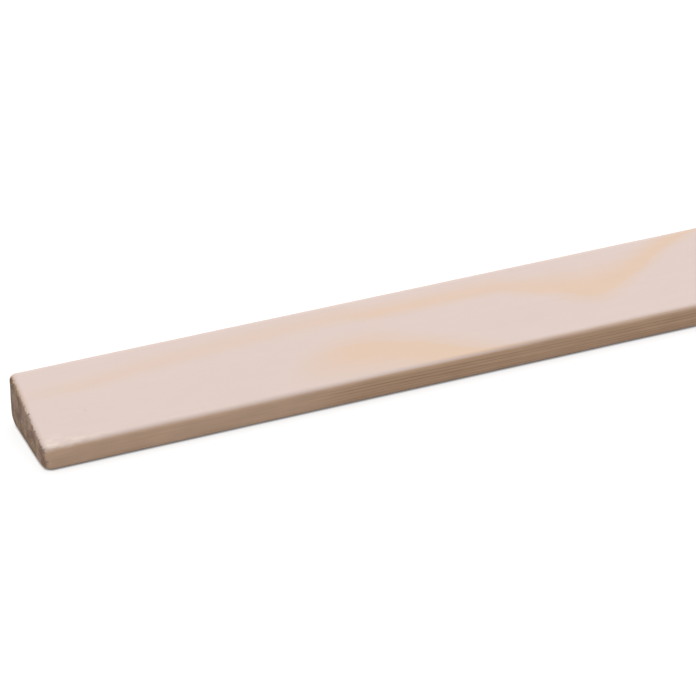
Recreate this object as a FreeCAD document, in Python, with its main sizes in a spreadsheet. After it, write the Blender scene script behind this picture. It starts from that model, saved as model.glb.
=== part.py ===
"""A planed softwood glazing bead: one straight length of stock with a sloping top.

The bead lies on its wide bottom face. Its tall side stands against the glass, and the top
falls from there to the low outer side so that water runs off. The four long edges are
rounded, and both cross-cut ends are eased all round.

Row frame, in millimetres: +X along the length, +Y towards the glass, +Z up. The origin is
the middle of the bottom face.
"""

import FreeCAD, Part
import Sketcher
import os

CLOSE = 1e-4  # millimetres: two places nearer than this are the same place

# alias, value in millimetres, what it sizes
SIZES = [
    ("stock_length", 2400.0, "end to end, a length this moulding is sold in"),
    ("bead_width", 28.0, "outer side to glass side"),
    ("glass_height", 15.0, "bottom to the sharp top corner at the glass side"),
    ("outer_height", 7.0, "bottom to the sharp top corner at the outer side"),
    ("outer_round", 2.0, "radius of the top edge at the outer side"),
    ("glass_round", 2.0, "radius of the top edge at the glass side"),
    ("toe_round", 2.0, "radius of the bottom edge at the outer side"),
    ("heel_round", 4.0, "radius of the bottom edge at the glass side"),
    ("end_ease", 1.5, "radius all round each cross-cut end"),
]


def make_sheet(doc):
    """The driving dimensions, one to a row, each with its alias."""
    sheet = doc.addObject("Spreadsheet::Sheet", "Sizes")
    for row, (alias, value, meaning) in enumerate(SIZES, start=1):
        sheet.set(f"A{row}", alias)
        sheet.set(f"B{row}", f"{value:g}")
        sheet.set(f"C{row}", meaning)
        sheet.setAlias(f"B{row}", alias)
    doc.recompute()
    return sheet


def draw_section(body, sheet):
    """The sharp-cornered section, on the body's own plane across the length.

    Sketch x is the row's Y, and sketch y is the row's Z.
    """
    sketch = body.newObject("Sketcher::SketchObject", "Section")
    plane = next(f for f in body.Origin.OriginFeatures if f.Role == "YZ_Plane")
    sketch.AttachmentSupport = [(plane, "")]
    sketch.MapMode = "FlatFace"

    half = sheet.bead_width / 2
    corners = [
        FreeCAD.Vector(-half, 0, 0),
        FreeCAD.Vector(half, 0, 0),
        FreeCAD.Vector(half, sheet.glass_height, 0),
        FreeCAD.Vector(-half, sheet.outer_height, 0),
    ]
    ends = corners[1:] + corners[:1]
    sides = [sketch.addGeometry(Part.LineSegment(a, b), False) for a, b in zip(corners, ends)]
    bottom, glass_side, top, outer_side = sides

    first, last, origin = 1, 2, (-1, 1)
    for line, following in zip(sides, sides[1:] + sides[:1]):
        sketch.addConstraint(Sketcher.Constraint("Coincident", line, last, following, first))
    sketch.addConstraint(Sketcher.Constraint("Horizontal", bottom))
    sketch.addConstraint(Sketcher.Constraint("Vertical", glass_side))
    sketch.addConstraint(Sketcher.Constraint("Vertical", outer_side))
    sketch.addConstraint(Sketcher.Constraint("Symmetric", bottom, first, bottom, last, *origin))

    for alias, kind, low, high in [
        ("bead_width", "DistanceX", (bottom, first), (bottom, last)),
        ("glass_height", "DistanceY", (glass_side, first), (glass_side, last)),
        ("outer_height", "DistanceY", (outer_side, last), (outer_side, first)),
    ]:
        size = getattr(sheet, alias)
        index = sketch.addConstraint(Sketcher.Constraint(kind, *low, *high, size))
        sketch.renameConstraint(index, alias)
        sketch.setExpression(f"Constraints.{alias}", f"Sizes.{alias}")
    return sketch


def long_edge(shape, y, z):
    """The name of the straight edge that runs the whole length at this Y and Z."""
    for number, edge in enumerate(shape.Edges, start=1):
        box = edge.BoundBox
        off_line = max(abs(box.YMin - y), abs(box.YMax - y), abs(box.ZMin - z), abs(box.ZMax - z))
        if off_line < CLOSE:
            return f"Edge{number}"
    raise RuntimeError(f"no long edge at y {y:g}, z {z:g}")


def end_edges(shape):
    """The names of every edge that lies wholly in one of the two end planes."""
    half = shape.BoundBox.XLength / 2
    return [
        f"Edge{number}"
        for number, edge in enumerate(shape.Edges, start=1)
        if edge.BoundBox.XLength < CLOSE and abs(abs(edge.BoundBox.XMin) - half) < CLOSE
    ]


def round_edges(doc, body, name, base, edges, alias):
    """A fillet on these edges, its radius taken from the sheet."""
    fillet = body.newObject("PartDesign::Fillet", name)
    fillet.Base = (base, edges)
    fillet.setExpression("Radius", f"Sizes.{alias}")
    doc.recompute()
    return fillet


def build_bead(doc, sheet):
    """The whole bead: the section run along the length, then its edges rounded."""
    body = doc.addObject("PartDesign::Body", "GlazingBead")
    body.Label = "glazing_bead"
    body.Placement = FreeCAD.Placement()
    sketch = draw_section(body, sheet)

    blank = body.newObject("PartDesign::Pad", "Blank")
    blank.Profile = sketch
    blank.SideType = "Symmetric"
    blank.setExpression("Length", "Sizes.stock_length")
    sketch.Visibility = False
    doc.recompute()

    half = sheet.bead_width / 2
    solid = blank
    for name, alias, y, z in [
        ("OuterTopEdge", "outer_round", -half, sheet.outer_height),
        ("GlassTopEdge", "glass_round", half, sheet.glass_height),
        ("ToeEdge", "toe_round", -half, 0.0),
        ("HeelEdge", "heel_round", half, 0.0),
    ]:
        edge = long_edge(solid.Shape, y, z)
        solid = round_edges(doc, body, name, solid, [edge], alias)
    round_edges(doc, body, "EasedEnds", solid, end_edges(solid.Shape), "end_ease")
    return body


def check(doc):
    """Stop if any feature failed or any shape is missing or broken."""
    for item in doc.Objects:
        if "Invalid" in item.State or "Error" in item.State:
            raise RuntimeError(f"{item.Name}: {item.State}")
        if hasattr(item, "Shape") and item.isDerivedFrom("PartDesign::Feature"):
            if item.Shape.isNull() or not item.Shape.isValid():
                raise RuntimeError(f"{item.Name}: bad shape")


doc = FreeCAD.newDocument("glazing_bead")
sheet = make_sheet(doc)
bead = build_bead(doc, sheet)
doc.recompute()
check(doc)
if bead.Shape.isNull() or not bead.Shape.isValid() or len(bead.Shape.Solids) != 1:
    raise RuntimeError("the bead is not one sound solid")

os.makedirs("parts", exist_ok=True)
bead.Shape.exportStep("parts/glazing_bead.step")
box = bead.Shape.optimalBoundingBox()
print(f"glazing_bead {box.XLength:.2f} x {box.YLength:.2f} x {box.ZLength:.2f} mm")
print(f"volume {bead.Shape.Volume:.0f} mm3")
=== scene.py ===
import bpy
import numpy as np
from mathutils import Matrix, Vector


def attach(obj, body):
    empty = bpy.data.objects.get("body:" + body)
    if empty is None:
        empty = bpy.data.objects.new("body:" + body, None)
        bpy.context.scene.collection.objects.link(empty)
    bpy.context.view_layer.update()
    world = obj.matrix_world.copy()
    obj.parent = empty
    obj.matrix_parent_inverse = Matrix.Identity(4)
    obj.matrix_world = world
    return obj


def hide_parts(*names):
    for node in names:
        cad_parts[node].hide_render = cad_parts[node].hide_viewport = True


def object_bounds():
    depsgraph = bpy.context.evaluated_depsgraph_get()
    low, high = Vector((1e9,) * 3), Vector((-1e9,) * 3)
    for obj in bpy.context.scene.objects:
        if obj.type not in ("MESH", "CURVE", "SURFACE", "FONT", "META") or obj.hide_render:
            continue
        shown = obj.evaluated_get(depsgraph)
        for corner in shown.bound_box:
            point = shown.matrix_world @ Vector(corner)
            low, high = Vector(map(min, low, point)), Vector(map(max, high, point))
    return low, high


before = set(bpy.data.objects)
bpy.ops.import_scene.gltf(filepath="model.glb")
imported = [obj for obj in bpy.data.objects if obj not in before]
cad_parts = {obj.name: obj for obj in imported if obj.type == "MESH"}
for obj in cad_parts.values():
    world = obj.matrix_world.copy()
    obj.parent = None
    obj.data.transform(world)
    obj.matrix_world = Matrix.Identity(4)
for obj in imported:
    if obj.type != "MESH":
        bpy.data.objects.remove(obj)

cad_low, cad_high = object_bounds()

# ---------------------------------------------------------------------------------------------
# The bead: one length of planed pine. A moulder cuts its flat bottom, its two upright sides and
# its sloping top in one pass and rounds the long edges, and a saw cuts it to length. The ends are
# then eased by hand, most of all at the outer bottom corner.
# ---------------------------------------------------------------------------------------------

MM = 0.001
LENGTH = (cad_high.x - cad_low.x) / MM
WIDTH = (cad_high.y - cad_low.y) / MM
GLASS_HEIGHT = 15.0   # to the sharp corner, before it is rounded
OUTER_HEIGHT = 7.0
EDGE_ROUNDS = (2.0, 4.0, 2.0, 2.0)   # toe, heel, glass top, outer top
EASE = 1.3            # round the top and bottom of each end
EASE_OUTER = 2.2      # at an end's upright edge on the outer side
EASE_GLASS = 2.0
EASE_HIGH = 0.5       # more easing along the high half of the top
TOE_WEAR = 1.0        # more easing at the outer bottom corner


def rounded_outline(corners, radii, arc_steps, flat_steps):
    """The section's outline, its outward normals and the distance round it.

    Each corner becomes an arc. Its centre is on the corner's bisector, at the radius over the
    sine of half the corner's angle, and it runs between its two tangent points. Each flat
    between two arcs is divided by a cosine rule, so that its steps are short beside the arcs.
    """
    corners = np.array(corners, float)
    before, after = np.roll(corners, 1, 0), np.roll(corners, -1, 0)
    back = (before - corners) / np.linalg.norm(before - corners, axis=1)[:, None]
    on = (after - corners) / np.linalg.norm(after - corners, axis=1)[:, None]
    half = np.arccos((back * on).sum(1)) / 2
    radii = np.array(radii, float)
    reach = (radii / np.tan(half))[:, None]
    start, end = corners + back * reach, corners + on * reach
    bisector = (back + on) / np.linalg.norm(back + on, axis=1)[:, None]
    centre = corners + bisector * (radii / np.sin(half))[:, None]
    first = np.arctan2(*(start - centre).T[::-1])
    turn = (np.arctan2(*(end - centre).T[::-1]) - first + np.pi) % (2 * np.pi) - np.pi
    angle = first[:, None] + turn[:, None] * np.linspace(0, 1, arc_steps + 1)
    way = np.stack([np.cos(angle), np.sin(angle)], -1)
    arcs = centre[:, None] + radii[:, None, None] * way
    share = (1 - np.cos(np.pi * np.arange(1, flat_steps) / flat_steps)) / 2
    flats = end[:, None] + (np.roll(start, -1, 0) - end)[:, None] * share[:, None]
    flat_way = np.stack([on[:, 1], -on[:, 0]], -1)[:, None].repeat(flat_steps - 1, 1)
    outline = np.concatenate([arcs, flats], 1).reshape(-1, 2)
    normals = np.concatenate([way, flat_way], 1).reshape(-1, 2)
    step = np.linalg.norm(np.diff(outline, axis=0, append=outline[:1]), axis=1)
    return outline, normals, np.concatenate([[0], np.cumsum(step)])


half_width = WIDTH / 2
outline, outward, girth = rounded_outline(
    [(-half_width, 0), (half_width, 0), (half_width, GLASS_HEIGHT), (-half_width, OUTER_HEIGHT)],
    EDGE_ROUNDS, arc_steps=12, flat_steps=16)
AROUND = len(outline)


def end_stations(toe_wear):
    """Where each ring of points lies on one end, from its middle out to 8 mm along the bead.

    Gives the distance from the end, how far the ring is drawn in from the outline, and how far
    it is shrunk towards the middle of the section, one row to a ring. The easing is a quarter
    circle whose radius grows from EASE towards the upright edges, the outer bottom corner and the
    high half of the top.
    """
    sideways = outward[:, 0]
    toe = np.exp(-((outline[:, 0] + half_width) ** 2 + outline[:, 1] ** 2) / 3.0 ** 2)
    ease = EASE + (EASE_OUTER - EASE) * np.clip(-sideways, 0, 1)
    ease = ease + (EASE_GLASS - EASE) * np.clip(sideways, 0, 1) + toe_wear * toe
    high = smooth_step(-4, 8, outline[:, 0]) * (1 - np.clip(sideways, 0, 1))
    ease = ease + EASE_HIGH * high * np.clip(outward[:, 1], 0, 1) ** 2
    shrink = np.linspace(0.04, 1, 22)[:-1, None]
    turn = np.linspace(np.pi / 2, 0, 11)[:, None]
    past = np.linspace(0, 1, 9)[1:, None]
    along = np.concatenate([0 * shrink * ease, ease * (1 - np.sin(turn)), ease + (8.0 - ease) * past])
    inset = np.concatenate([ease + 0 * shrink, ease * (1 - np.cos(turn)), 0 * ease * past])
    scale = np.concatenate([shrink, np.ones_like(turn), np.ones_like(past)])
    return along, inset, scale


def roller_marks(x, y, z):
    """The slow unevenness that the feed rollers leave along the length, in mm: a sum of sines."""
    slow = np.sin(x / 37 + y / 9) * np.sin(x / 83 + 1.3 + z / 7)
    return 0.03 * (1 + slow) + 0.02 * np.sin(x / 11 + y) ** 2


def smooth_step(low, high, value):
    """0 below low, 1 above high, and a cubic between them."""
    share = np.clip((value - low) / (high - low), 0, 1)
    return share * share * (3 - 2 * share)


def ring_lift(x, across):
    """How many growth rings the wood is lifted by, at x mm along and from 0 at the glass side to
    1 at the outer side.

    The rings lie nearly flat in the section, so the sloping top shows them as long flames and
    islands wherever they dip or rise. Near the first end one ring line wanders along the glass
    side and swings out to a point, and an island of the ring below it meets the outer edge.
    Further on the rings dip and rise at random, each dip a bell curve in both directions.
    """
    line_at = [0, 15, 30, 45, 60, 75, 90, 97, 120, 135, 150, 160, 170, 185, 198, 230]
    line_is = [0.38, 0.40, 0.35, 0.31, 0.28, 0.25, 0.23, 0.28, 0.27, 0.27, 0.43, 0.54, 0.45, 0.19, 0.02, -0.2]
    fine = np.arange(-40.0, 300.0, 0.5)
    kernel = np.hanning(15)
    line = np.convolve(np.interp(fine, line_at, line_is), kernel / kernel.sum(), "same")
    line = np.interp(x, fine, line)
    steep = 2.5 - 1.4 * np.exp(-((x - 160) / 18) ** 2)
    beside = steep * (across - line)
    island_edge = 0.58 + 0.06 * np.logaddexp(0, (x - 97) / 4) + 0.17 * np.logaddexp(0, (72 - x) / 5)
    below = 1.1 * (island_edge - across)
    near = -0.05 * np.logaddexp(-beside / 0.05, -below / 0.05)
    near = np.where(near > 0, 0.36 * np.tanh(near / 0.36), 0.62 * np.tanh(near / 0.62))

    random = np.random.default_rng(28)
    count = 26
    spot_x = np.linspace(260, 2380, count) + random.uniform(-30, 30, count)
    spot_y = random.uniform(-0.2, 1.2, count)
    long = random.uniform(28, 95, count)
    wide = random.uniform(0.25, 0.75, count)
    lift = random.uniform(0.35, 1.1, count) * random.choice([-1, 1], count)
    bell = ((x[..., None] - spot_x) / long) ** 2 + ((across[..., None] - spot_y) / wide) ** 2
    far = 1.2 * (across - 0.42) + 0.5 * np.sin(x / 310 + 0.6) + (lift * np.exp(-bell)).sum(-1)
    return 1 + near + (far - near) * smooth_step(200, 275, x)


def line_strength(x, across):
    """How dark the late wood is drawn, from 0 to 1: faint at the near end, full on the island and
    from 150 mm on, and then rising and falling slowly along the length."""
    line = np.interp(x, [0, 10, 18, 75, 92, 99, 140, 155, 200], [0.15, 0.3, 0.42, 0.42, 0.6, 0.85, 0.75, 0.95, 0.9])
    lower = smooth_step(0.42, 0.5, across) * (1 - smooth_step(125, 140, x))
    near = line + (smooth_step(66, 92, x) - line) * lower
    far = 0.72 + 0.22 * np.sin(x / 71 + 2 * across) * np.sin(x / 190 + 0.5)
    return near + (far - near) * smooth_step(200, 275, x)


near = end_stations(TOE_WEAR)
far = end_stations(TOE_WEAR * 0.4)
ROW = 400.0   # the length of bead laid on one row of its map
spread = 8.0 + 1.6 * np.arange(1, 131)
middle = np.concatenate([spread[spread < 215], np.arange(222, LENGTH - 9, 6.5)])
middle = np.unique(np.concatenate([middle, np.arange(ROW, LENGTH - 1, ROW)]))
along = np.concatenate([near[0], middle[:, None] + np.zeros(AROUND), LENGTH - far[0][::-1]])
inset = np.concatenate([near[1], np.zeros((len(middle), AROUND)), far[1][::-1]])
scale = np.concatenate([near[2], np.ones((len(middle), 1)), far[2][::-1]])

centre = outline.mean(0)
ring = outline - inset[..., None] * outward
ring = centre + (ring - centre) * scale[..., None]
facing = np.gradient(along, axis=0)
turned = np.gradient(ring, axis=0)
lean = np.where(along < LENGTH / 2, -1.0, 1.0) * np.linalg.norm(turned, axis=-1)
lean = lean / np.hypot(lean, facing).clip(1e-9)
worn = roller_marks(along, ring[..., 0], ring[..., 1])
sides = np.sqrt(1 - lean ** 2)[..., None] * outward
place = np.stack([along - worn * lean, *np.moveaxis(ring - worn[..., None] * sides, -1, 0)], -1)

# Saw marks on the two ends: shallow arcs, as a circular saw leaves, and the pull-out of pores.
on_end = smooth_step(0.90, 0.995, np.abs(lean))
saw = 0.05 * np.sin(np.hypot(ring[..., 0] + 60, ring[..., 1] + 90) / 0.75) + 0.05
place[..., 0] -= on_end * np.sign(lean) * saw

stations = len(place)
across = (half_width - place[..., 1]) / WIDTH
points = place.reshape(-1, 3)
poles = np.array([place[0].mean(0), place[-1].mean(0)])
points = np.concatenate([points, poles])
points = (points + [-LENGTH / 2, 0, 0]) * MM
first_pole, last_pole = stations * AROUND, stations * AROUND + 1

row, column = np.meshgrid(np.arange(stations - 1), np.arange(AROUND), indexing="ij")
beside = (column + 1) % AROUND
quads = np.stack([row * AROUND + column, (row + 1) * AROUND + column,
                  (row + 1) * AROUND + beside, row * AROUND + beside], -1).reshape(-1, 4)[:, ::-1]
turn = np.arange(AROUND)
fan_near = np.stack([turn, (turn + 1) % AROUND, np.full(AROUND, first_pole)], -1)[:, ::-1]
last = (stations - 1) * AROUND
fan_far = np.stack([last + turn, last + (turn + 1) % AROUND, np.full(AROUND, last_pole)], -1)

mesh = bpy.data.meshes.new("planed_bead")
corners = np.concatenate([quads.ravel(), fan_near.ravel(), fan_far.ravel()])
sizes = np.concatenate([np.full(len(quads), 4), np.full(2 * AROUND, 3)])
mesh.vertices.add(len(points))
mesh.vertices.foreach_set("co", points.ravel())
mesh.loops.add(len(corners))
mesh.loops.foreach_set("vertex_index", corners)
mesh.polygons.add(len(sizes))
mesh.polygons.foreach_set("loop_start", np.concatenate([[0], np.cumsum(sizes)[:-1]]))
mesh.polygons.foreach_set("loop_total", sizes)
mesh.polygons.foreach_set("use_smooth", np.ones(len(sizes), bool))
mesh.update(calc_edges=True)
if mesh.validate():
    raise RuntimeError("the bead's mesh was not sound")

# The bead's own map: six rows, each 400 mm of its length with the girth across the row, and a
# seventh row with the two ends side by side.
ROWS = 7
vertex = corners
vertex_x = np.append(place[..., 0].ravel(), [0, LENGTH])[vertex]
vertex_column = np.append(np.tile(turn, stations), [0, 0])[vertex]
face = np.repeat(np.arange(len(sizes)), sizes)
middle_x = np.bincount(face, vertex_x) / sizes
band = np.clip((middle_x // ROW).astype(int), 0, ROWS - 2)[face]
face_column = np.concatenate([np.tile(turn, stations - 1), turn, turn])[face]
last_round = (face_column == AROUND - 1) & (vertex_column == 0)
round_share = np.where(last_round, girth[-1], girth[vertex_column]) / girth[-1]
map_u = 0.004 + 0.992 * (vertex_x - band * ROW) / ROW
map_v = (band + 0.03 + 0.94 * round_share) / ROWS
ring_row = np.concatenate([np.repeat(np.arange(stations - 1), AROUND),
                           np.full(AROUND, -1), np.full(AROUND, stations)])[face]
flat_rings = 21
near_cap, far_cap = ring_row < flat_rings, ring_row >= stations - 1 - flat_rings
end_scale = 0.94 / ROWS / 15.0
end_y = points[vertex, 1] / MM + half_width
end_z = points[vertex, 2] / MM
map_u = np.where(near_cap, 0.01 + end_y * end_scale, np.where(far_cap, 0.4 + end_y * end_scale, map_u))
map_v = np.where(near_cap | far_cap, (ROWS - 1 + 0.03) / ROWS + end_z * end_scale, map_v)
bead_map = mesh.uv_layers.new(name="OFBake")
bead_map.uv.foreach_set("vector", np.stack([map_u, map_v], -1).astype(np.float32).ravel())

# What the material needs to know at each point: how far the growth rings are lifted and how dark
# they are, how far in from the long surfaces the ends lie, how much the surface belongs to the
# planed top, whose paler colour is partly a painted sheen, and where a painted highlight lightens
# the near outer corner in spots.
top_way = np.array([-(GLASS_HEIGHT - OUTER_HEIGHT), WIDTH]) / np.hypot(WIDTH, GLASS_HEIGHT - OUTER_HEIGHT)
upward = outward @ top_way + np.where(outward[:, 0] > 0, 0.35, 0.0)
# how far each point takes the top's colour: the top face and, on the glass side, its rounded edge further round; the
# top's paler tone is partly a painted sheen
on_top = smooth_step(0.55, 0.97, upward) * (1 - smooth_step(0.85, 0.97, np.abs(lean)))
for name, values, at_poles in [
    ("ring_lift", ring_lift(along, across), None),
    ("line_strength", line_strength(along, across), None),
    ("end_reach", inset + (1 - scale) * np.linalg.norm(outline - centre, axis=1), 8.0),
    ("planed_top_sheen", on_top, 0.0),
    # a painted highlight: pale spots on the upward-facing near outer corner
    ("corner_highlight", np.exp(-(along / 12) ** 2 - ((across - 0.95) / 0.06) ** 2) * smooth_step(0.1, 0.6, outward[:, 1]), 0.0),
]:
    ends = [values[0].mean(), values[-1].mean()] if at_poles is None else [at_poles, at_poles]
    layer = mesh.attributes.new(name, "FLOAT", "POINT")
    layer.data.foreach_set("value", np.append(values.ravel(), ends).astype(np.float32))

bead = bpy.data.objects.new("planed_bead", mesh)
bpy.context.collection.objects.link(bead)


def linear(hex_colour):
    """An sRGB hex colour as linear red, green and blue, with alpha 1."""
    levels = [int(hex_colour[i:i + 2], 16) / 255 for i in (1, 3, 5)]
    return [c / 12.92 if c <= 0.04045 else ((c + 0.055) / 1.055) ** 2.4 for c in levels] + [1.0]


def add(material, kind, inputs=None, **settings):
    """Adds one node. Settings are its own properties, and each input is a value, or a socket to
    link from, by the name or number of the socket it goes to. Returns its outputs."""
    tree = material.node_tree
    node = tree.nodes.new(kind)
    for name, value in settings.items():
        setattr(node, name, value)
    for name, value in (inputs or {}).items():
        if isinstance(value, bpy.types.NodeSocket):
            tree.links.new(value, node.inputs[name])
        else:
            node.inputs[name].default_value = value
    return node.outputs


# Pine, planed by rotary cutters and left bare. The pale early wood of each year darkens into a
# narrow tan line of late wood that ends sharply, so the flat-cut top shows faint soft flames and
# the upright sides show fine straight lines. The cut is matt, a little smoother on late wood,
# with fibres along the length. The end grain drinks in light and is deeper in colour than the top.
# The upright sides are deeper and warmer too, partly from their denser late wood and partly
# as painted sheen: the top's colour is painted paler and pinker for the sheen that the overhead
# light leaves on it.
pine = bpy.data.materials.new("planed_pine")
pine.use_nodes = True
pine.node_tree.nodes.clear()
where = add(pine, "ShaderNodeTexCoord")["Object"]
lift = add(pine, "ShaderNodeAttribute", attribute_name="ring_lift")["Fac"]
strength = add(pine, "ShaderNodeAttribute", attribute_name="line_strength")["Fac"]
end_reach = add(pine, "ShaderNodeAttribute", attribute_name="end_reach")["Fac"]
corner_highlight = add(pine, "ShaderNodeAttribute", attribute_name="corner_highlight")["Fac"]
planed_top_sheen = add(pine, "ShaderNodeAttribute", attribute_name="planed_top_sheen")["Fac"]

# depth below the top plane, in rings of 0.85 mm, with the rings a little disturbed
RING = 0.85 * MM
rise = Vector((0, top_way[0], top_way[1]))
top_point = Vector((0, 0, (GLASS_HEIGHT + OUTER_HEIGHT) / 2 * MM))
depth = add(pine, "ShaderNodeVectorMath", {0: where, 1: rise / RING}, operation="DOT_PRODUCT")["Value"]
stretch = add(pine, "ShaderNodeMapping", {"Vector": where, "Scale": (14, 420, 420)})[0]
wander = add(pine, "ShaderNodeTexNoise", {"Vector": stretch, "Scale": 1.0, "Detail": 3.0, "Roughness": 0.55})["Fac"]
level = add(pine, "ShaderNodeMath", {0: depth, 1: rise.dot(top_point) / RING}, operation="SUBTRACT")[0]
off_top = add(pine, "ShaderNodeMath", {0: 1.0, 1: planed_top_sheen}, operation="SUBTRACT")[0]
sway = add(pine, "ShaderNodeMath", {0: off_top, 1: 0.30, 2: 0.12}, operation="MULTIPLY_ADD")[0]
wander = add(pine, "ShaderNodeMath", {0: wander, 1: 0.5}, operation="SUBTRACT")[0]
swayed = add(pine, "ShaderNodeMath", {0: wander, 1: sway, 2: level}, operation="MULTIPLY_ADD")[0]
# good and poor years: the rings' spacing varies with depth
growth = add(pine, "ShaderNodeTexNoise", {"W": swayed, "Scale": 0.8, "Detail": 1.0}, noise_dimensions="1D")["Fac"]
growth = add(pine, "ShaderNodeMath", {0: growth, 1: 0.5}, operation="SUBTRACT")[0]
uneven = add(pine, "ShaderNodeMath", {0: off_top, 1: 1.7}, operation="MULTIPLY")[0]
height = add(pine, "ShaderNodeMath", {0: growth, 1: uneven, 2: swayed}, operation="MULTIPLY_ADD")[0]
years = add(pine, "ShaderNodeMath", {0: height, 1: lift}, operation="ADD")[0]
season = add(pine, "ShaderNodeMath", {0: years}, operation="FRACT")[0]
shades = add(pine, "ShaderNodeValToRGB", {"Fac": season})["Color"]
ramp = pine.node_tree.nodes[-1].color_ramp
ramp.interpolation = "EASE"
for stop, (position, shade) in zip(
    [ramp.elements[0], ramp.elements[1], ramp.elements.new(0.5), ramp.elements.new(0.5), ramp.elements.new(0.5)],
    [(0.0, 0.55), (1.0, 0.55), (0.18, 0.0), (0.54, 0.0), (0.87, 1.0)],
):
    stop.position, stop.color = position, (shade, shade, shade, 1)
late = add(pine, "ShaderNodeMath", {0: shades, 1: strength}, operation="MULTIPLY")[0]
vigour = add(pine, "ShaderNodeTexNoise", {"W": swayed, "Scale": 0.45, "Detail": 0.0}, noise_dimensions="1D")["Fac"]
vigour = add(pine, "ShaderNodeMapRange", {"Value": vigour, "From Min": 0.3, "From Max": 0.7, "To Min": 0.2})[0]
side_lines = add(pine, "ShaderNodeMath", {0: late, 1: vigour}, operation="MULTIPLY")[0]
# end grain starts at a ragged line low on the eased edge, whose upper part is worn smooth
ragged_place = add(pine, "ShaderNodeMapping", {"Vector": where, "Scale": (700, 1500, 1500)})[0]
ragged = add(pine, "ShaderNodeTexNoise", {"Vector": ragged_place, "Scale": 1.0, "Detail": 3.0})["Fac"]
ragged = add(pine, "ShaderNodeMath", {0: ragged, 1: 1.5, 2: end_reach}, operation="MULTIPLY_ADD")[0]
end_grain = add(pine, "ShaderNodeMapRange", {"Value": ragged, "From Min": 1.2, "From Max": 1.8})[0]
# painted shade: the eased end edge is painted tan, most on the glass half, for the shade on its rounding
arris_shade = add(pine, "ShaderNodeMapRange", {"Value": end_reach, "From Min": 0.05, "From Max": 0.6})[0]
high_side = add(pine, "ShaderNodeSeparateXYZ", {"Vector": where})["Y"]
high_side = add(pine, "ShaderNodeMapRange", {"Value": high_side, "From Min": -4 * MM, "From Max": 6 * MM, "To Min": 0.15,
                                             "To Max": 0.6})[0]
arris_shade = add(pine, "ShaderNodeMath", {0: arris_shade, 1: high_side}, operation="MULTIPLY")[0]

# fibres: streaks 0.35 mm wide and some 20 mm long
fibre_place = add(pine, "ShaderNodeMapping", {"Vector": where, "Scale": (45, 2600, 2600)})[0]
fibre = add(pine, "ShaderNodeTexNoise", {"Vector": fibre_place, "Scale": 1.0, "Detail": 4.0, "Roughness": 0.6})["Fac"]
cloud_place = add(pine, "ShaderNodeMapping", {"Vector": where, "Scale": (16, 60, 60)})[0]
cloud = add(pine, "ShaderNodeTexNoise", {"Vector": cloud_place, "Scale": 1.0, "Detail": 2.0})["Fac"]

# the top's colours are painted paler and pinker than the sides': partly a painted sheen from the overhead light
top_early = add(pine, "ShaderNodeMix", {"Factor": cloud, 6: linear("#E3CFC8"), 7: linear("#E1CCC2")},
                data_type="RGBA")[2]
top_late = add(pine, "ShaderNodeMix", {"Factor": late, 6: top_early, 7: linear("#E3C5AD")}, data_type="RGBA")[2]
side_early = add(pine, "ShaderNodeMix", {"Factor": strength, 6: linear("#D6B499"), 7: linear("#CDA98B")},
                 data_type="RGBA")[2]
side_late = add(pine, "ShaderNodeMix", {"Factor": side_lines, 6: side_early, 7: linear("#A67C5A")}, data_type="RGBA")[2]

# end grain: the rings seen end on, crushed fibres that lie as blotches about 3 mm across, ruddy
# in one place and olive in the next, pale and dark specks 0.7 mm across, and fine dark pores
pore_place = add(pine, "ShaderNodeMapping", {"Vector": where, "Scale": (900, 3600, 3600)})[0]
pores = add(pine, "ShaderNodeTexVoronoi", {"Vector": pore_place, "Scale": 1.0})["Distance"]
pore = add(pine, "ShaderNodeMapRange", {"Value": pores, "From Min": 0.15, "From Max": 0.6, "To Min": 0.6})[0]
blotch_place = add(pine, "ShaderNodeMapping", {"Vector": where, "Scale": (200, 290, 290)})[0]
blotch = add(pine, "ShaderNodeTexNoise", {"Vector": blotch_place, "Scale": 1.0, "Detail": 3.0, "Roughness": 0.6})["Fac"]
end_spread = add(pine, "ShaderNodeMapRange", {"Value": blotch, "From Min": 0.40, "From Max": 0.60})[0]
hue_place = add(pine, "ShaderNodeMapping", {"Vector": where, "Location": (3, 7, 1), "Scale": (150, 190, 190)})[0]
hue = add(pine, "ShaderNodeTexNoise", {"Vector": hue_place, "Scale": 1.0, "Detail": 1.0})["Fac"]
hue = add(pine, "ShaderNodeMapRange", {"Value": hue, "From Min": 0.40, "From Max": 0.60})[0]
end_dark = add(pine, "ShaderNodeMix", {"Factor": hue, 6: linear("#84665A"), 7: linear("#82684F")}, data_type="RGBA")[2]
end_pale = add(pine, "ShaderNodeMix", {"Factor": hue, 6: linear("#B69788"), 7: linear("#B1977C")}, data_type="RGBA")[2]
end_base = add(pine, "ShaderNodeMix", {"Factor": end_spread, 6: end_dark, 7: end_pale}, data_type="RGBA")[2]
# the end grain is drawn darker towards the glass side
deeper = add(pine, "ShaderNodeMapRange", {"Value": high_side, "From Min": 0.15, "From Max": 0.6, "To Min": 1.0,
                                          "To Max": 0.84})[0]
end_base = add(pine, "ShaderNodeVectorMath", {0: end_base, "Scale": deeper}, operation="SCALE")[0]
speck_place = add(pine, "ShaderNodeMapping", {"Vector": where, "Scale": (900, 1500, 1500)})[0]
speck = add(pine, "ShaderNodeTexNoise", {"Vector": speck_place, "Scale": 1.0, "Detail": 2.0})["Fac"]
pale_speck = add(pine, "ShaderNodeMapRange", {"Value": speck, "From Min": 0.62, "From Max": 0.72, "To Max": 0.6})[0]
dark_speck = add(pine, "ShaderNodeMapRange", {"Value": speck, "From Min": 0.37, "From Max": 0.28, "To Max": 0.6})[0]
end_base = add(pine, "ShaderNodeMix", {"Factor": pale_speck, 6: end_base, 7: linear("#DCC8B8")}, data_type="RGBA")[2]
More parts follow.
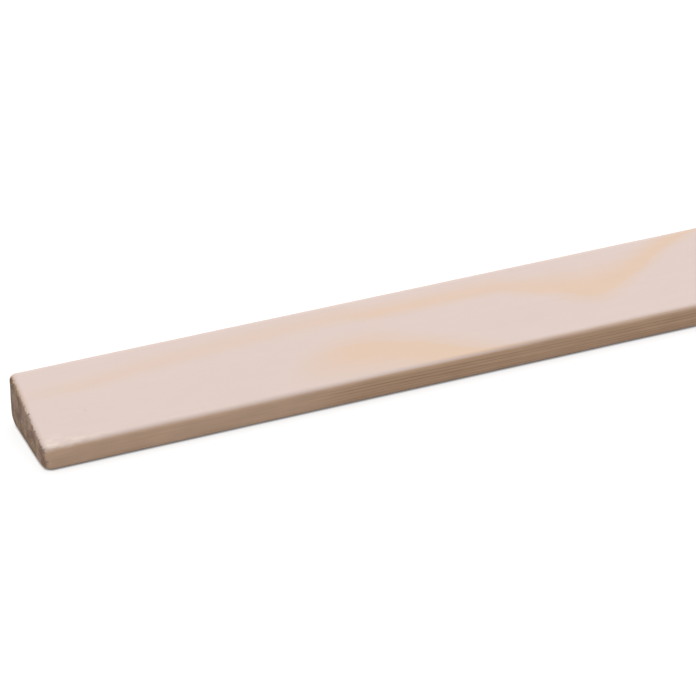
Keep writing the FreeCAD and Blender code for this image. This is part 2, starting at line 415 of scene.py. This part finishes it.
end_base = add(pine, "ShaderNodeMix", {"Factor": dark_speck, 6: end_base, 7: linear("#5E4637")}, data_type="RGBA")[2]
end_ringed = add(pine, "ShaderNodeMix", {"Factor": late, 6: end_base, 7: linear("#846551")}, data_type="RGBA")[2]
end_pored = add(pine, "ShaderNodeMix", {"Factor": pore, 6: linear("#765A47"), 7: end_ringed}, data_type="RGBA")[2]

# long grain takes the top's or the sides' colour: the grain's own difference and the top's painted sheen
long_grain = add(pine, "ShaderNodeMix", {"Factor": planed_top_sheen, 6: side_late, 7: top_late}, data_type="RGBA")[2]
# the side cutters leave patches some 8 mm long; the top is even
patch_place = add(pine, "ShaderNodeMapping", {"Vector": where, "Scale": (110, 420, 420)})[0]
patch = add(pine, "ShaderNodeTexNoise", {"Vector": patch_place, "Scale": 1.0, "Detail": 2.0})["Fac"]
patch = add(pine, "ShaderNodeMath", {0: patch, 1: fibre}, operation="ADD")[0]
darkest = add(pine, "ShaderNodeMath", {0: planed_top_sheen, 1: 0.115, 2: 0.87}, operation="MULTIPLY_ADD")[0]
palest = add(pine, "ShaderNodeMath", {0: planed_top_sheen, 1: -0.045, 2: 1.055}, operation="MULTIPLY_ADD")[0]
streak = add(pine, "ShaderNodeMapRange", {"Value": patch, "From Min": 0.65, "From Max": 1.35, "To Min": darkest,
                                          "To Max": palest})[0]
streaked = add(pine, "ShaderNodeVectorMath", {0: long_grain, "Scale": streak}, operation="SCALE")[0]
# painted highlight: pale spots where the overhead light catches the near outer corner
spots_place = add(pine, "ShaderNodeMapping", {"Vector": where, "Scale": (300, 600, 600)})[0]
spots = add(pine, "ShaderNodeTexNoise", {"Vector": spots_place, "Scale": 1.0, "Detail": 2.0})["Fac"]
spots = add(pine, "ShaderNodeMapRange", {"Value": spots, "From Min": 0.42, "From Max": 0.58, "To Max": 0.85})[0]
pale = add(pine, "ShaderNodeMath", {0: corner_highlight, 1: spots}, operation="MULTIPLY")[0]
highlighted_wood = add(pine, "ShaderNodeMix", {"Factor": pale, 6: streaked, 7: linear("#F6E3D6")}, data_type="RGBA")[2]
eased = add(pine, "ShaderNodeMix", {"Factor": arris_shade, 6: highlighted_wood, 7: linear("#D8B496")}, data_type="RGBA")[2]
whole = add(pine, "ShaderNodeMix", {"Factor": end_grain, 6: eased, 7: end_pored}, data_type="RGBA")[2]

# chips: a fibre torn out of the near end's top edge, a smaller one beside it, and a faint dent
chip_place = add(pine, "ShaderNodeMapping", {"Vector": where, "Scale": (2400, 2400, 2400)})[0]
chip_edge = add(pine, "ShaderNodeTexNoise", {"Vector": chip_place, "Scale": 1.0, "Detail": 2.0})["Fac"]
chips = 0.0
for place_mm, reach_mm, deep in [
    ((0.3, -1.2, 10.3), (0.50, 0.40, 0.50), 0.65),
    ((0.2, -2.8, 9.6), (0.30, 0.50, 0.35), 0.40),
    ((14.6, -4.2, 9.8), (0.25, 0.60, 0.50), 0.12),
]:
    from_end = Vector(place_mm) * MM - Vector((LENGTH / 2 * MM, 0, 0))
    beside_it = add(pine, "ShaderNodeMapping", {"Vector": where, "Location": from_end, "Scale": Vector(reach_mm) * MM},
                    vector_type="TEXTURE")[0]
    away = add(pine, "ShaderNodeVectorMath", {0: beside_it}, operation="LENGTH")["Value"]
    ragged_away = add(pine, "ShaderNodeMath", {0: chip_edge, 1: 1.1, 2: away}, operation="MULTIPLY_ADD")[0]
    chip = add(pine, "ShaderNodeMapRange", {"Value": ragged_away, "From Min": 1.15, "From Max": 1.65, "To Min": deep,
                                            "To Max": 0.0})[0]
    chips = add(pine, "ShaderNodeMath", {0: chips, 1: chip}, operation="MAXIMUM")[0]
wood = add(pine, "ShaderNodeMix", {"Factor": chips, 6: whole, 7: linear("#6A5140")}, data_type="RGBA")[2]

# roughness: matt early wood, late wood a little polished by the cutters, rougher end grain
gloss = add(pine, "ShaderNodeMapRange", {"Value": late, "To Min": 0.62, "To Max": 0.52})[0]
rough = add(pine, "ShaderNodeMath", {0: end_grain, 1: 0.22, 2: gloss}, operation="MULTIPLY_ADD")[0]

# relief: fibres, late wood standing proud, cutter marks 1.6 mm apart, and torn pores on the ends
ripple_place = add(pine, "ShaderNodeMapping", {"Vector": where, "Scale": (1, 0.06, 0.06)})[0]
ripple = add(pine, "ShaderNodeTexWave", {"Vector": ripple_place, "Scale": 1 / (1.6 * MM) / 3.2, "Distortion": 0.6,
                                         "Detail": 1.0}, wave_type="BANDS", bands_direction="X")["Fac"]
cut = add(pine, "ShaderNodeMath", {0: ripple, 1: 0.12, 2: fibre}, operation="MULTIPLY_ADD")[0]
proud = add(pine, "ShaderNodeMath", {0: late, 1: 0.35, 2: cut}, operation="MULTIPLY_ADD")[0]
pitted = add(pine, "ShaderNodeMath", {0: pore, 1: 0.5, 2: speck}, operation="MULTIPLY_ADD")[0]
relief = add(pine, "ShaderNodeMix", {"Factor": end_grain, "A": proud, "B": pitted}, data_type="FLOAT")[0]
chipped = add(pine, "ShaderNodeMath", {0: chips, 1: -2.5, 2: relief}, operation="MULTIPLY_ADD")[0]
bump = add(pine, "ShaderNodeBump", {"Height": chipped, "Strength": 0.28, "Distance": 0.06 * MM})[0]
surface = add(pine, "ShaderNodeBsdfPrincipled", {"Base Color": wood, "Roughness": rough, "Normal": bump, "IOR": 1.5})
add(pine, "ShaderNodeOutputMaterial", {"Surface": surface[0]})

mesh.materials.append(pine)
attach(bead, "root")
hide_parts("glazing_bead")

# ---------------------------------------------------------------------------------------------
# The floor: a wide, level, matt white sheet that the bead lies on. The camera sees it white apart
# from the bead's own soft shadow and a painted shadow in the gap under its rounded bottom edge.
# ---------------------------------------------------------------------------------------------

reach = 40.0
floor_mesh = bpy.data.meshes.new("floor")
floor_mesh.from_pydata([(-reach, -reach, 0), (reach, -reach, 0), (reach, reach, 0), (-reach, reach, 0)], [],
                       [(0, 1, 2, 3)])
floor = bpy.data.objects.new("floor", floor_mesh)
bpy.context.collection.objects.link(floor)
floor.location.z = -0.02 * MM

sheet = bpy.data.materials.new("white_card")
sheet.use_nodes = True
sheet.node_tree.nodes.clear()
ray = add(sheet, "ShaderNodeLightPath")
seen = add(sheet, "ShaderNodeMath", {0: ray["Is Camera Ray"], 1: ray["Is Glossy Ray"]}, operation="MAXIMUM")[0]
seen = add(sheet, "ShaderNodeMath", {0: seen, 1: ray["Is Transmission Ray"]}, operation="MAXIMUM")[0]
card = add(sheet, "ShaderNodeMix", {"Factor": seen, 6: linear("#D2D0CD"), 7: linear("#9C9C9C")}, data_type="RGBA")[2]
matt = add(sheet, "ShaderNodeBsdfDiffuse", {"Color": card})[0]
# ambient occlusion holds the camera's glow back in the narrow gap under the bead's rounded bottom edge, a painted
# shadow that keeps it dark
gap = add(sheet, "ShaderNodeAmbientOcclusion", {"Distance": 0.6 * MM}, samples=16)["AO"]
gap = add(sheet, "ShaderNodeMath", {0: gap, 1: 0.75}, operation="MULTIPLY")[0]
glow_level = add(sheet, "ShaderNodeMath", {0: seen, 1: gap}, operation="MULTIPLY")[0]
glow = add(sheet, "ShaderNodeEmission", {"Strength": glow_level})[0]
both = add(sheet, "ShaderNodeAddShader", {0: matt, 1: glow})[0]
add(sheet, "ShaderNodeOutputMaterial", {"Surface": both})
floor_mesh.materials.append(sheet)

# ---------------------------------------------------------------------------------------------
# Studio light: one very large soft light overhead, a little behind the bead, and an even pale
# surround, so that the top is bright and the two upright sides fall into soft shade.
# ---------------------------------------------------------------------------------------------

studio = bpy.data.worlds.new("studio")
bpy.context.scene.world = studio
studio.use_nodes = True
studio.node_tree.nodes.clear()
ray = add(studio, "ShaderNodeLightPath")
seen = add(studio, "ShaderNodeMath", {0: ray["Is Camera Ray"], 1: ray["Is Glossy Ray"]}, operation="MAXIMUM")[0]
seen = add(studio, "ShaderNodeMath", {0: seen, 1: ray["Is Transmission Ray"]}, operation="MAXIMUM")[0]
level = add(studio, "ShaderNodeMapRange", {"Value": seen, "To Min": 0.32, "To Max": 1.0})[0]
air = add(studio, "ShaderNodeBackground", {"Color": linear("#FFFFFF"), "Strength": level})[0]
add(studio, "ShaderNodeOutputWorld", {"Surface": air})

overhead = bpy.data.lights.new("overhead", "AREA")
overhead.shape = "RECTANGLE"
overhead.size, overhead.size_y = 9.0, 4.5
overhead.energy = 232.0
lamp = bpy.data.objects.new("overhead", overhead)
bpy.context.collection.objects.link(lamp)
lamp.location = (-0.3, 0.9, 4.2)
lamp.rotation_euler = (Vector((0, 0, 0)) - lamp.location).to_track_quat("-Z", "Y").to_euler()
lamp.visible_camera = False

# ---------------------------------------------------------------------------------------------
# The camera: a long lens looking down at 31 degrees on the first 190 mm of the bead, from its
# outer side and turned 23 degrees towards the far end.
# ---------------------------------------------------------------------------------------------

down, aside = np.radians(31.266), np.radians(22.765)
forward = Vector((np.sin(aside) * np.cos(down), np.cos(aside) * np.cos(down), -np.sin(down)))
right = Vector((np.cos(aside), -np.sin(aside), 0))
up = right.cross(forward)
lens = bpy.data.cameras.new("camera")
lens.sensor_width, lens.lens = 36.0, 195.68
lens.clip_start, lens.clip_end = 0.02, 100.0
camera = bpy.data.objects.new("camera", lens)
bpy.context.collection.objects.link(camera)
looked_at = Vector((-1.110856, 0.000686, 0.008))
turned = Matrix((right, up, -forward)).transposed().to_4x4()
camera.matrix_world = Matrix.Translation(looked_at - forward * 0.99131) @ turned
bpy.context.scene.camera = camera
bpy.context.scene.view_settings.view_transform = "Standard"
